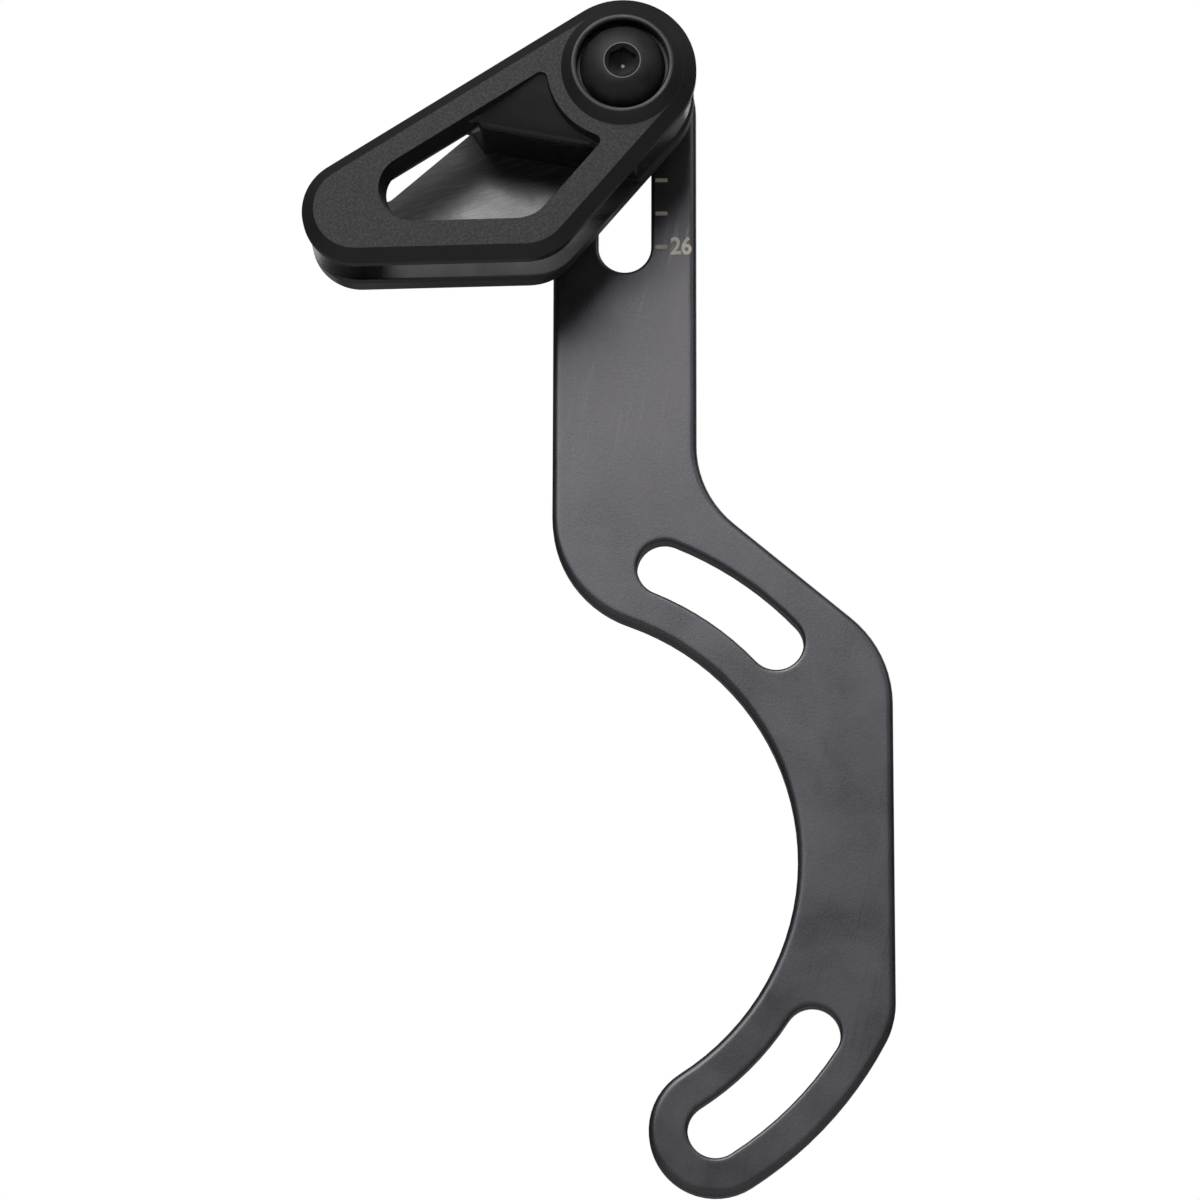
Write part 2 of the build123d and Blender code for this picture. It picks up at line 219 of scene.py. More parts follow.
class Effects:
    """Surface effects that several finishes share, each a node group built once."""

    pebble_band: Band = (0.10, 0.75)
    waver_band: Band = (0.25, 0.75)
    fleck_band: Band = (0.43, 0.66)
    cloud_band: Band = (0.28, 0.72)
    line_floor: float = 0.78
    line_floor_drop: float = 0.4
    line_gain: float = 9.0

    def __init__(self) -> None:
        """Build the three groups."""
        self.grain = self.build_grain()
        self.mottling = self.build_mottling()
        self.hairlines = self.build_hairlines()

    def build_grain(self) -> bpy.types.NodeTree:
        """Build the pebbled grain of a spark-eroded mould or a blasted metal.

        Returns:
            Group with the grain's height and its lighter flecks, both from 0 to 1.
        """
        sheet = start_group("Pebbled grain", ("Size",), ("Height", "Fleck"))
        ins, outs = sheet.tree.nodes["Ins"].outputs, sheet.tree.nodes["Outs"].inputs
        scale = sheet.calc("DIVIDE", 1.0, ins["Size"])
        sized = sheet.place("ShaderNodeVectorMath", {0: ins["Vector"], "Scale": scale}, operation="SCALE")
        place = sized.outputs[0]
        noise = sheet.place(
            "ShaderNodeTexNoise",
            {"Vector": place, "Scale": 0.8, "Detail": 3.0, "Roughness": 0.7},
        ).outputs["Fac"]
        cells = sheet.place(
            "ShaderNodeTexVoronoi",
            {"Vector": place, "Scale": 0.9, "Smoothness": 0.6},
            feature="SMOOTH_F1",
        )
        pebble = sheet.remap(cells.outputs["Distance"], *self.pebble_band, 0.5, 0.0)
        waver = sheet.remap(noise, *self.waver_band, 0.0, 0.5)
        sheet.feed(outs["Height"], sheet.calc("ADD", pebble, waver))
        sheet.feed(outs["Fleck"], sheet.remap(noise, *self.fleck_band, 0.0, 1.0))
        return sheet.tree

    def build_mottling(self) -> bpy.types.NodeTree:
        """Build the slow, cloudy change that handling and dyeing leave on a surface.

        Returns:
            Group with one value from 0 to 1.
        """
        sheet = start_group("Cloudy mottling", ("Size",), ("Value",))
        ins, outs = sheet.tree.nodes["Ins"].outputs, sheet.tree.nodes["Outs"].inputs
        scale = sheet.calc("DIVIDE", 1.0, ins["Size"])
        noise = sheet.place(
            "ShaderNodeTexNoise",
            {"Vector": ins["Vector"], "Scale": scale, "Detail": 3.0, "Roughness": 0.55, "Distortion": 0.4},
        )
        sheet.feed(outs["Value"], sheet.remap(noise.outputs["Fac"], *self.cloud_band, 0.0, 1.0))
        return sheet.tree

    def build_hairlines(self) -> bpy.types.NodeTree:
        """Build fine rubbed lines that lie across the plates at one angle.

        Returns:
            Group with a mask that is 1 on a line.
        """
        sheet = start_group("Rubbed hairlines", ("Angle", "Spacing", "Length", "Share"), ("Mask",))
        ins, outs = sheet.tree.nodes["Ins"].outputs, sheet.tree.nodes["Outs"].inputs
        turned = sheet.place(
            "ShaderNodeVectorRotate",
            {"Vector": ins["Vector"], "Angle": ins["Angle"]},
            rotation_type="Y_AXIS",
        )
        along = sheet.calc("DIVIDE", 1.0, ins["Length"])
        across = sheet.calc("DIVIDE", 1.0, ins["Spacing"])
        stretch = sheet.place("ShaderNodeCombineXYZ", {"X": along, "Y": along, "Z": across})
        place = sheet.place(
            "ShaderNodeVectorMath",
            {0: turned.outputs[0], 1: stretch.outputs[0]},
            operation="MULTIPLY",
        )
        noise = sheet.place("ShaderNodeTexNoise", {"Vector": place.outputs[0], "Scale": 1.0, "Detail": 2.0})
        drop = sheet.calc("MULTIPLY", ins["Share"], self.line_floor_drop)
        rise = sheet.calc("SUBTRACT", noise.outputs["Fac"], sheet.calc("SUBTRACT", self.line_floor, drop))
        sheet.feed(outs["Mask"], sheet.calc("MULTIPLY", rise, self.line_gain, clamp=True))
        return sheet.tree


@dataclass
class Dressing:
    """One material in the making: its sheet, its shader and the place that its patterns read."""

    name: str
    material: bpy.types.Material = field(init=False)
    sheet: NodeSheet = field(init=False)
    shader: bpy.types.Node = field(init=False)
    place: bpy.types.Node = field(init=False)

    def __post_init__(self) -> None:
        """Make the material with an empty Principled shader and an object coordinate."""
        self.material = bpy.data.materials.new(self.name)
        self.material.use_nodes = True
        self.material.node_tree.nodes.clear()
        self.sheet = NodeSheet(self.material.node_tree)
        self.shader = self.sheet.place("ShaderNodeBsdfPrincipled")
        self.sheet.place("ShaderNodeOutputMaterial", {"Surface": self.shader.outputs[0]})
        self.place = self.sheet.place("ShaderNodeTexCoord")

    def effect(self, group: bpy.types.NodeTree, **values: float) -> bpy.types.bpy_prop_collection:
        """Place a shared effect on the object's own coordinates.

        Args:
            group: The effect's node group.
            **values: Numbers for its inputs, by name.

        Returns:
            The effect's outputs.
        """
        node = self.sheet.place("ShaderNodeGroup", node_tree=group)
        self.sheet.feed(node.inputs["Vector"], self.place.outputs["Object"])
        for key, value in values.items():
            node.inputs[key].default_value = value
        return node.outputs

    def set(self, **values: Any) -> None:
        """Fill the shader's sockets, with spaces in their names written as underscores."""
        for key, value in values.items():
            self.sheet.feed(self.shader.inputs[key.replace("_", " ")], value)

    def bump(self, height: Any, depth: float) -> None:
        """Lay a height from 0 to 1 over the surface, as a relief of a depth in metres."""
        inputs = {"Height": height, "Distance": depth, "Strength": 1.0}
        self.set(Normal=self.sheet.place("ShaderNodeBump", inputs).outputs[0])

    def axis(self, output: str, letter: str) -> bpy.types.NodeSocket:
        """Read one axis, X, Y or Z, of the Object coordinate or of the object's own Normal."""
        parts = self.sheet.place("ShaderNodeSeparateXYZ", {0: self.place.outputs[output]})
        return parts.outputs[letter]

    def along(self, direction: Spot) -> bpy.types.NodeSocket:
        """Measure how far the surface lies from the frame's origin in one direction."""
        inputs = {0: self.place.outputs["Object"], 1: direction}
        return self.sheet.place("ShaderNodeVectorMath", inputs, operation="DOT_PRODUCT").outputs["Value"]

    def away(self, spot: Spot, place: bpy.types.NodeSocket | None = None) -> bpy.types.NodeSocket:
        """Measure the surface's distance from a spot.

        Args:
            spot: Spot to measure from.
            place: Coordinate to measure to, if not the plain object coordinate.

        Returns:
            The distance's socket.
        """
        inputs = {0: place or self.place.outputs["Object"], 1: spot}
        return self.sheet.place("ShaderNodeVectorMath", inputs, operation="DISTANCE").outputs["Value"]


# Finishes


@dataclass(frozen=True)
class AnodisedFinish:
    """Black-dyed, bead-blasted aluminium sheet with a satin sheen and faint upright rubs."""

    dark: Colour = (0.098, 0.095, 0.103)
    pale: Colour = (0.142, 0.137, 0.150)
    roughness: float = 0.43
    roughness_swing: float = 0.06
    cloud: float = 9 * MM
    grain: float = 0.26 * MM
    fleck_share: float = 0.2
    depth: float = 0.005 * MM
    rub_angle: float = 78.0
    rub_spacing: float = 0.35 * MM
    rub_length: float = 9 * MM
    rub_share: float = 0.45
    rub_shine: float = 0.05

    def make(self, effects: Effects) -> bpy.types.Material:
        """Build the material.

        Args:
            effects: Shared surface effects.

        Returns:
            The finished material.
        """
        dress = Dressing("anodised_bracket")
        sheet = dress.sheet
        cloud = dress.effect(effects.mottling, Size=self.cloud)["Value"]
        grain = dress.effect(effects.grain, Size=self.grain)
        rubs = dress.effect(
            effects.hairlines,
            Angle=radians(self.rub_angle),
            Spacing=self.rub_spacing,
            Length=self.rub_length,
            Share=self.rub_share,
        )["Mask"]
        clouded = sheet.product(cloud, 1.0 - self.fleck_share)
        tone = sheet.calc("ADD", clouded, sheet.product(grain["Fleck"], self.fleck_share))
        rough = sheet.swing(cloud, self.roughness, self.roughness_swing)
        dress.set(Base_Color=sheet.blend(tone, self.dark, self.pale), Metallic=1.0)
        dress.set(Roughness=sheet.calc("SUBTRACT", rough, sheet.product(rubs, self.rub_shine)))
        dress.bump(grain["Height"], self.depth)
        return dress.material


@dataclass(frozen=True)
class CagePlasticFinish:
    """Black moulded plastic: grained front face, smooth bevels, polished recess and channel faces."""

    body: Colour = (0.0112, 0.0112, 0.0117)
    pit: Colour = (0.0010, 0.0010, 0.0011)
    fleck: Colour = (0.0320, 0.0320, 0.0336)
    ior: float = 1.5
    grained: float = 0.60
    smooth: float = 0.42
    polished: float = 0.23
    roughness_swing: float = 0.04
    cloud: float = 6 * MM
    grain: float = 0.22 * MM
    depth: float = 0.022 * MM
    smooth_share: float = 0.06
    face_y: float = -20.3 * MM
    face_off: Band = (0.02 * MM, 0.05 * MM)
    face_facing: Band = (-0.999, -0.992)
    floor_drop: float = 0.04 * MM
    floor_facing: Band = (-0.985, -0.5)
    floor_tilt: Band = (-0.08, -0.04)
    recess_end: Band = (6.8 * MM, 7.2 * MM)
    recess_foot: Band = (75.5 * MM, 76.5 * MM)
    channel_y: float = -17.3 * MM
    channel_fade: float = 0.1 * MM

    def make(self, effects: Effects) -> bpy.types.Material:
        """Build the material of the outer half.

        Args:
            effects: Shared surface effects.

        Returns:
            The finished material.
        """
        dress = Dressing("cage_outer")
        sheet = dress.sheet
        grain = dress.effect(effects.grain, Size=self.grain)
        cloud = dress.effect(effects.mottling, Size=self.cloud)["Value"]
        facing = dress.axis("Normal", "Y")
        y = dress.axis("Object", "Y")
        off = sheet.calc("ABSOLUTE", sheet.calc("SUBTRACT", y, self.face_y))
        face = sheet.product(
            sheet.remap(facing, *self.face_facing, 1.0, 0.0),
            sheet.remap(off, *self.face_off, 1.0, 0.0),
        )
        floor = sheet.product(
            sheet.remap(facing, *self.floor_facing, 1.0, 0.0),
            sheet.remap(y, self.face_y, self.face_y + self.floor_drop, 0.0, 1.0),
            sheet.remap(dress.axis("Normal", "Z"), *self.floor_tilt, 1.0, 0.0),
            sheet.remap(dress.axis("Object", "X"), *self.recess_end, 1.0, 0.0),
            sheet.remap(dress.axis("Object", "Z"), *self.recess_foot, 0.0, 1.0),
        )
        channel = sheet.remap(y, self.channel_y - self.channel_fade, self.channel_y, 0.0, 1.0)
        inside = sheet.calc("MAXIMUM", floor, channel)
        plain = sheet.calc("ADD", self.smooth, sheet.product(inside, self.polished - self.smooth))
        plain = sheet.calc("ADD", plain, sheet.swing(cloud, 0.0, self.roughness_swing))
        roughened = sheet.product(sheet.calc("SUBTRACT", self.grained, plain), face)
        speckled = sheet.blend(grain["Fleck"], self.pit, self.fleck)
        dress.set(Base_Color=sheet.blend(face, self.body, speckled), IOR=self.ior)
        dress.set(Roughness=sheet.calc("ADD", plain, roughened))
        share = sheet.remap(face, 0.0, 1.0, self.smooth_share, 1.0)
        dress.bump(sheet.product(grain["Height"], share), self.depth)
        return dress.material


@dataclass(frozen=True)
class MattEdge:
    """Side of the channel face that fades from polished to matt."""

    outward: Spot
    edge: float
    fade: float
    roughness: float


@dataclass(frozen=True)
class ChannelPlasticFinish:
    """The same plastic on the inner half: polished towards the chain, with fine rubbed lines."""

    body: Colour = (0.0090, 0.0090, 0.0094)
    rubbed: Colour = (0.036, 0.036, 0.037)
    ior: float = 1.64
    polished: float = 0.17
    roughness_swing: float = 0.05
    rubbed_more: float = 0.025
    cloud: float = 5 * MM
    grain: float = 0.2 * MM
    depth: float = 0.002 * MM
    line_angle: float = 16.0
    line_spacing: float = 0.2 * MM
    line_length: float = 2.8 * MM
    line_share: float = 0.74
    line_relief: float = 0.4
    worn_facing: Band = (-0.98, -0.90)
    heel_side: Spot = (0.714, 0.0, -0.70)
    worn_to: float = -50.0 * MM
    worn_fade: float = 1.5 * MM
    worn_foot: Band = (69.0 * MM, 70.5 * MM)
    tail_end: Band = (-21.0 * MM, -11.0 * MM)
    tail_top: Band = (71.0 * MM, 72.5 * MM)
    edge_waver: float = 0.5 * MM
    matt_edges: tuple[MattEdge, ...] = (
        MattEdge((-0.656, 0.0, 0.755), 66.0 * MM, 5.0 * MM, 0.55),
        MattEdge((0.0, 0.0, -1.0), -68.4 * MM, 3.0 * MM, 0.60),
        MattEdge((0.375, 0.0, -0.927), -63.6 * MM, 3.0 * MM, 0.62),
        MattEdge((0.28, 0.0, 0.960), 76.3 * MM, 4.8 * MM, 0.66),
    )

    def make(self, effects: Effects) -> bpy.types.Material:
        """Build the material of the inner half.

        Args:
            effects: Shared surface effects.

        Returns:
            The finished material.
        """
        dress = Dressing("cage_inner")
        sheet = dress.sheet
        cloud = dress.effect(effects.mottling, Size=self.cloud)["Value"]
        grain = dress.effect(effects.grain, Size=self.grain)
        lines = dress.effect(
            effects.hairlines,
            Angle=radians(self.line_angle),
            Spacing=self.line_spacing,
            Length=self.line_length,
            Share=self.line_share,
        )["Mask"]
        lines = sheet.product(
            lines,
            sheet.remap(dress.axis("Normal", "Y"), *self.worn_facing, 1.0, 0.0),
            sheet.remap(dress.along(self.heel_side), self.worn_to - self.worn_fade, self.worn_to, 1.0, 0.0),
            sheet.remap(dress.axis("Object", "Z"), *self.worn_foot, 0.0, 1.0),
        )
        rough = sheet.calc("ADD", self.matted(dress, cloud), sheet.swing(cloud, 0.0, self.roughness_swing))
        dress.set(Base_Color=sheet.blend(lines, self.body, self.rubbed), IOR=self.ior)
        dress.set(Roughness=sheet.calc("ADD", rough, sheet.product(lines, self.rubbed_more)))
        relief = sheet.calc("ADD", grain["Height"], sheet.product(lines, self.line_relief))
        dress.bump(relief, self.depth)
        return dress.material

    def matted(self, dress: Dressing, cloud: bpy.types.NodeSocket) -> bpy.types.NodeSocket:
        """Work out the roughness: polished in the middle and at the tail's foot, matt towards the edges.

        Args:
            dress: The material in the making.
            cloud: Slow change that makes the matt edges waver.

        Returns:
            The roughness's socket.
        """
        sheet = dress.sheet
        waver = sheet.swing(cloud, 0.0, self.edge_waver)
        rough: Any = self.polished
        for side in self.matt_edges:
            reach = sheet.calc("ADD", dress.along(side.outward), waver)
            faded = sheet.remap(reach, side.edge - side.fade, side.edge, self.polished, side.roughness)
            rough = sheet.calc("MAXIMUM", rough, faded)
        tail = sheet.product(
            sheet.remap(dress.axis("Object", "X"), *self.tail_end, 1.0, 0.0),
            sheet.remap(dress.axis("Object", "Z"), *self.tail_top, 1.0, 0.0),
        )
        excess = sheet.calc("SUBTRACT", rough, self.polished)
        return sheet.calc("SUBTRACT", rough, sheet.product(excess, tail))


@dataclass(frozen=True)
class BlackSteelFinish:
    """Black-oxide steel of the screw and nut, with the socket's mouth worn bare and lightened into a painted
    highlight on its edge, and a painted warm glint in the socket.
    """

    dark: Colour = (0.045, 0.044, 0.045)
    pale: Colour = (0.070, 0.068, 0.067)
    # Bare steel at the socket's mouth, light enough to stand for the edge's painted highlight
    bare_and_highlight: Colour = (0.27, 0.26, 0.245)
    # Colour of a painted warm glint, a reflection painted into the socket's floor
    glint_colour: Colour = (0.62, 0.50, 0.40)
    roughness: Band = (0.61, 0.73)
    cloud: float = 2.5 * MM
    grain: float = 0.12 * MM
    depth: float = 0.003 * MM
    mouth_r: float = 2.05 * MM
    mouth_y: float = -22.45 * MM
    mouth_fade: float = 0.05 * MM
    mouth_ring_width: float = 0.055 * MM
    mouth_ring_cloud: float = 0.8
    mouth_ring_least: float = 0.65
    mouth_ring_shine: float = 0.15
    # Painted glint: spot and size of the warm reflection painted in the socket's floor
    painted_glint: Spot = (9.35 * MM, -20.25 * MM, 88.18 * MM)
    painted_glint_r: float = 0.24 * MM

    def make(self, effects: Effects, screw: Spot) -> bpy.types.Material:
        """Build the material.

        Args:
            effects: Shared surface effects.
            screw: Point on the screw's axis, at Y 0.

        Returns:
            The finished material.
        """
        dress = Dressing("black_steel")
        sheet = dress.sheet
        cloud = dress.effect(effects.mottling, Size=self.cloud)["Value"]
        grain = dress.effect(effects.grain, Size=self.grain)
        inputs = {0: dress.place.outputs["Object"], 1: (1.0, 0.0, 1.0)}
        flat = sheet.place("ShaderNodeVectorMath", inputs, operation="MULTIPLY").outputs[0]
        off = sheet.calc("ABSOLUTE", sheet.calc("SUBTRACT", dress.away(screw, flat), self.mouth_r))
        # Thin ring at the socket's mouth: worn bare steel and a painted highlight of the edge, bright under
        # any lamp
        worn_and_highlight = sheet.product(
            sheet.remap(off, self.mouth_ring_width / 2, self.mouth_ring_width, 1.0, 0.0),
            sheet.remap(dress.axis("Object", "Y"), self.mouth_y - self.mouth_fade, self.mouth_y, 1.0, 0.0),
            sheet.remap(cloud, 0.0, self.mouth_ring_cloud, self.mouth_ring_least, 1.0),
        )
        # Painted glint: a small warm bright spot in the socket, a reflection painted into the colour
        painted_glint = sheet.remap(dress.away(self.painted_glint), self.painted_glint_r / 2, self.painted_glint_r, 1.0, 0.0)
        black = sheet.blend(cloud, self.dark, self.pale)
        colour = sheet.blend(painted_glint, sheet.blend(worn_and_highlight, black, self.bare_and_highlight), self.glint_colour)
        metallic = sheet.calc("SUBTRACT", 1.0, sheet.calc("MAXIMUM", worn_and_highlight, painted_glint))
        rough = sheet.remap(cloud, 0.0, 1.0, *self.roughness)
        dress.set(Base_Color=colour, Metallic=metallic)
        dress.set(Roughness=sheet.calc("SUBTRACT", rough, sheet.product(worn_and_highlight, self.mouth_ring_shine)))
        dress.bump(grain["Height"], self.depth)
        return dress.material


@dataclass(frozen=True)
class TurnedSpacerFinish:
    """Black-anodised aluminium with the lathe's fine rings, centred on the screw."""

    dark: Colour = (0.045, 0.045, 0.047)
    pale: Colour = (0.065, 0.064, 0.066)
    roughness: float = 0.36
    roughness_swing: float = 0.06
    cloud: float = 3 * MM
    ring: float = 0.12 * MM
    depth: float = 0.004 * MM

    def make(self, effects: Effects, screw: Spot) -> bpy.types.Material:
        """Build the material.

        Args:
            effects: Shared surface effects.
            screw: Point on the screw's axis, which the rings are centred on.

        Returns:
            The finished material.
        """
        dress = Dressing("spacer_alloy")
        sheet = dress.sheet
        centred = sheet.place(
            "ShaderNodeMapping",
            {"Vector": dress.place.outputs["Object"], "Location": (-screw[0], -screw[1], -screw[2])},
        )
        # The wave's phase, in radians, is twenty times its scale times the radius
        rings = sheet.place(
            "ShaderNodeTexWave",
            {"Vector": centred.outputs[0], "Scale": 0.05 / self.ring, "Distortion": 0.6, "Detail": 1.0},
            wave_type="RINGS",
            rings_direction="Y",
        ).outputs["Fac"]
        cloud = dress.effect(effects.mottling, Size=self.cloud)["Value"]
        dress.set(Base_Color=sheet.blend(cloud, self.dark, self.pale), Metallic=1.0)
        dress.set(Roughness=sheet.swing(rings, self.roughness, self.roughness_swing))
        dress.bump(rings, self.depth)
        return dress.material


@dataclass(frozen=True)
class EtchedFinish:
    """Bare metal laid open by a laser through the black layer."""

    name: str
    dark: Colour
    pale: Colour
    roughness: Band = (0.5, 0.75)
    cloud: float = 0.7 * MM
    grain: float = 0.12 * MM
    depth: float = 0.006 * MM

    def make(self, effects: Effects) -> bpy.types.Material:
        """Build the material.

        Args:
            effects: Shared surface effects.

        Returns:
            The finished material.
        """
        dress = Dressing(self.name)
        sheet = dress.sheet
        cloud = dress.effect(effects.mottling, Size=self.cloud)["Value"]
        grain = dress.effect(effects.grain, Size=self.grain)
        dress.set(Base_Color=sheet.blend(cloud, self.dark, self.pale))
        dress.set(Roughness=sheet.remap(grain["Height"], 0.0, 1.0, *self.roughness))
        dress.bump(grain["Height"], self.depth)
        return dress.material


# Mesh helpers


def finish_piece(
    mesh: bmesh.types.BMesh, name: str, body: Body, crease: float
) -> bpy.types.Object:
    """Turn a bmesh into a piece that rides on a body.

    Args:
        mesh: Shape in the guide's frame; it is freed.
        name: Name of the piece.
        body: Body that it rides on.
        crease: Edges that turn by more than this angle stay sharp.

    Returns:
        The new object.
    """
    data = bpy.data.meshes.new(name)
    mesh.to_mesh(data)
    mesh.free()
    if data.has_custom_normals:
        data.attributes.remove(data.attributes["custom_normal"])
    data.shade_smooth()
    data.set_sharp_from_angle(angle=radians(crease))
    piece = bpy.data.objects.new(name, data)
    bpy.context.scene.collection.objects.link(piece)
    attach(piece, body.value)
    log.info("%s: %d faces on %s", name, len(data.polygons), body.value)
    return piece


def finish_skin(
    mesh: bmesh.types.BMesh, node: str, body: Body, crease: float = 24.0
) -> bpy.types.Object:
    """Turn a skin into the piece that stands for a solid, shaded after its large faces.

    Args:
        mesh: Skin of the solid; it is freed.
        node: Name of the solid.
        body: Body that it rides on.
        crease: Edges that turn by more than this angle stay sharp.

    Returns:
        The new object.
    """
    piece = finish_piece(mesh, f"{node}_skin", body, crease)
    shading = piece.modifiers.new("even_shading", "WEIGHTED_NORMAL")
    shading.mode = "FACE_AREA"
    shading.keep_sharp = True
    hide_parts(node)
    return piece


def merged_copy(node: str) -> bmesh.types.BMesh:
    """Copy a solid's mesh and join its loose triangles into one skin.

    Args:
        node: Name of the solid.

    Returns:
        The skin, in the guide's frame.
    """
    mesh = bmesh.new()
    mesh.from_mesh(solid(node).data)
    bmesh.ops.remove_doubles(mesh, verts=mesh.verts, dist=MERGE)
    mesh.normal_update()
    return mesh


def cut_across(
    mesh: bmesh.types.BMesh, level: float, facing: float, snap: float = 0.0
) -> list[bmesh.types.BMEdge]:
    """Cut a mesh with a plane across Y and drop what lies beyond the plane.

    Args:
        mesh: Mesh to cut.
        level: Place of the plane on Y.
        facing: 1 to drop what lies towards +Y, -1 to drop what lies towards -Y.
        snap: Points that lie closer to the plane than this count as on it.

    Returns:
        Edges that lie in the cut.
    """
    cut = bmesh.ops.bisect_plane(
        mesh,
        geom=[*mesh.verts, *mesh.edges, *mesh.faces],
        dist=snap,
        plane_co=(0.0, level, 0.0),
        plane_no=(0.0, facing, 0.0),
        clear_outer=True,
    )
    return [item for item in cut["geom_cut"] if isinstance(item, bmesh.types.BMEdge)]


def round_over(
    mesh: bmesh.types.BMesh, edges: list[bmesh.types.BMEdge], radius: float, segments: int
) -> None:
    """Round some edges of a mesh.

    Args:
        mesh: Mesh that the edges belong to.
        edges: Edges to round.
        radius: Width that the round takes on each side.
        segments: Steps of the round.
    """
    bmesh.ops.bevel(
        mesh,
        geom=edges,
        offset=radius,
        offset_type="OFFSET",
        affect="EDGES",
        segments=segments,
        profile=0.5,
        material=-1,
    )


def paint(thing: bpy.types.Object, material: bpy.types.Material) -> None:
    """Give a piece or a solid one material all over."""
    thing.data.materials.clear()
    thing.data.materials.append(material)


def solid(node: str) -> bpy.types.Object:
    """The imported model's object for a node."""
    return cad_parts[node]


# Sub-assemblies


@dataclass
class Bracket:
    """Flat bracket with its etched height scale beside the adjusting slot."""

    face_y: float = -3.0 * MM
    sunk: float = 0.012 * MM
    edge_round: float = 0.8 * MM
    slot_round: float = 0.4 * MM
    rows: int = 8
    flat_rim: float = 0.3 * MM
    lowest_z: float = 71.95 * MM
    step: float = 4.04 * MM
    proud: float = 0.011 * MM
    etched_crease: float = 40.0
    tick_start: float = 12.84 * MM
    tick_end: float = 14.26 * MM
    tick_height: float = 0.46 * MM
    tick_round: float = 0.07 * MM
    tick_segments: int = 3
    tick_finish: EtchedFinish = EtchedFinish("etched_ticks", (0.42, 0.36, 0.285), (0.66, 0.585, 0.485))
    number_left: float = 14.6 * MM
    number_rise: float = 0.14 * MM
    number_size: tuple[float, float] = (2.45 * MM, 2.19 * MM)
    number_finish: EtchedFinish = EtchedFinish("etched_numbers", (0.72, 0.66, 0.56), (0.92, 0.86, 0.75))
    letter_depth: float = 0.5
    letter_weight: float = 0.027
    letter_merge: float = 1e-5

    @property
    def front_y(self) -> float:
        """Front of the skin: a hair behind the solid's face, so that the spacers clear the etched marks."""
        return self.face_y + self.sunk

    def round_edges(self, mesh: bmesh.types.BMesh) -> None:
        """Lay even rows over the rounds at the front of the plate, from the walls' outline to the flat face.

        Args:
            mesh: Skin of the plate; what lies in front of the straight walls is made new.
        """
        cut_across(mesh, self.face_y + self.edge_round, -1.0, snap=2 * MERGE)
        mesh.normal_update()
        rim = [edge for edge in mesh.edges if edge.is_boundary]
        outline = self.tallest_loop(rim)
        outward = {vert: Vector() for edge in rim for vert in edge.verts}
        for vert in outward:
            for face in vert.link_faces:
                outward[vert] += face.normal * face.calc_area()
            outward[vert] = Vector((outward[vert].x, 0.0, outward[vert].z)).normalized()
        row = {vert: vert for vert in outward}
        for step in range(self.rows + 1):
            turn = pi / 2 * step / self.rows
            above: dict[bmesh.types.BMVert, bmesh.types.BMVert] = {}
            for vert, away in outward.items():
                radius = self.edge_round if vert in outline else self.slot_round
                spot = vert.co - away * radius * (1 - cos(turn))
                spot.y = self.front_y + radius * (1 - sin(turn))
                above[vert] = vert if vert in outline and step == 0 else mesh.verts.new(spot)
            self.join_rows(mesh, rim, row, above)
            row = above
        flat = {vert: mesh.verts.new(row[vert].co - away * self.flat_rim) for vert, away in outward.items()}
        self.join_rows(mesh, rim, row, flat)
        front = [mesh.edges.get([flat[vert] for vert in edge.verts]) for edge in rim]
        bmesh.ops.triangle_fill(mesh, edges=front, use_beauty=True)
        bmesh.ops.recalc_face_normals(mesh, faces=mesh.faces)

    @staticmethod
    def join_rows(
        mesh: bmesh.types.BMesh,
        rim: list[bmesh.types.BMEdge],
        low: dict[bmesh.types.BMVert, bmesh.types.BMVert],
        high: dict[bmesh.types.BMVert, bmesh.types.BMVert],
    ) -> None:
        """Span two rows with faces wherever the rows lie apart.

        Args:
            mesh: Mesh that holds the rows.
            rim: Edges of the cut that the rows follow.
            low: Points of the first row, by the rim's points.
            high: Points of the next row, by the rim's points.
        """
        for edge in rim:
            first, last = edge.verts
            if high[first] is not low[first]:
                mesh.faces.new((low[first], low[last], high[last], high[first]))

    @staticmethod
    def tallest_loop(edges: list[bmesh.types.BMEdge]) -> set[bmesh.types.BMVert]:
        """The vertices of the tallest of several closed loops, which is the plate's outline.

        Args:
            edges: Edges of all loops.

        Returns:
            The tallest loop's vertices.
        """
        ties: dict[bmesh.types.BMVert, list[bmesh.types.BMVert]] = {}
        for edge in edges:
            first, last = edge.verts
            ties.setdefault(first, []).append(last)
            ties.setdefault(last, []).append(first)
        loops: list[set[bmesh.types.BMVert]] = []
        left = set(ties)
        while left:
            loop, queue = set(), [next(iter(left))]
            while queue:
                vert = queue.pop()
                if vert not in loop:
                    loop.add(vert)
                    queue += ties[vert]
            loops.append(loop)
            left -= loop
        return max(loops, key=lambda loop: max(vert.co.z for vert in loop) - min(vert.co.z for vert in loop))

    def mark_height(self, mark: Mark) -> float:
        """Height of a mark above the frame's origin."""
        return self.lowest_z + (mark.value - Mark.TEETH_26.value) / 2 * self.step

    def build_ticks(self) -> bpy.types.Object:
        """Make the scale's short lines as one thin piece.

        Returns:
            The piece with all ticks.
        """
        mesh = bmesh.new()
        size = Matrix.Diagonal((self.tick_end - self.tick_start, 2 * self.proud, self.tick_height, 1.0))
        for mark in Mark:
            spot = Vector(((self.tick_start + self.tick_end) / 2, self.front_y, self.mark_height(mark)))
            tick = bmesh.ops.create_cube(mesh, size=1.0, matrix=Matrix.Translation(spot) @ size)
            edges = dict.fromkeys(edge for vert in tick["verts"] for edge in vert.link_edges)
            upright = [edge for edge in edges if abs(edge.verts[0].co.y - edge.verts[1].co.y) > self.proud]
            round_over(mesh, upright, self.tick_round, self.tick_segments)
        return finish_piece(mesh, "scale_ticks", Body.BRACKET, self.etched_crease)

